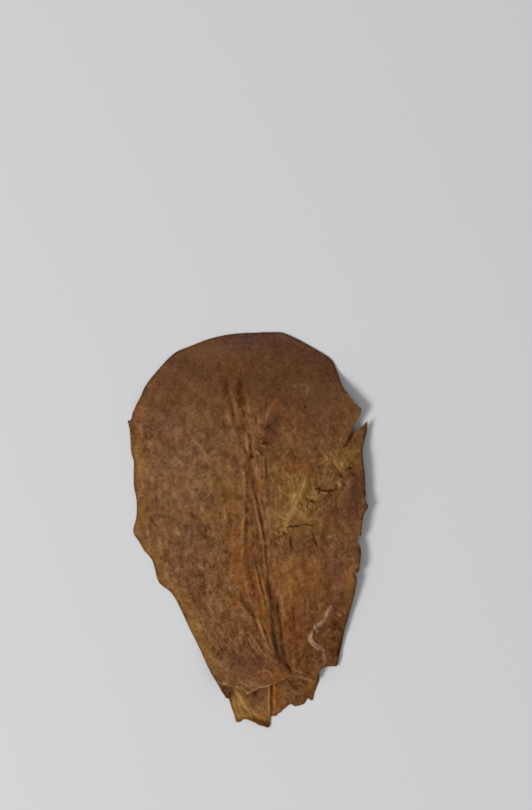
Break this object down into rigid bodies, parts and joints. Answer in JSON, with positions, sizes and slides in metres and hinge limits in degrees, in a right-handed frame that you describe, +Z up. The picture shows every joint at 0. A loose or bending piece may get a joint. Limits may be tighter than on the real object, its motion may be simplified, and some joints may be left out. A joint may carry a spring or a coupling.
{
  "type": "indian almond leaf",
  "caption": "Dried Indian almond leaf, broad brown blade with a sunk midrib, arching side veins and torn margins, lying flat with its torn foot folded beneath",
  "frame": {"origin": "on the resting surface, under the middle of the leaf's bounding box", "axes": "+Y from the torn foot to the leaf's tip, +Z up out of the leaf's upper face, +X to the right of the leaf seen from above"},
  "size_m": [0.0666, 0.1098, 0.0059],
  "materials": {
    "dried_leaf": "matt, dry and finely mottled, with a slight leathery sheen"
  },
  "bodies": {
    "root": {"leaf": "dried_leaf"}
  },
  "joints": []
}
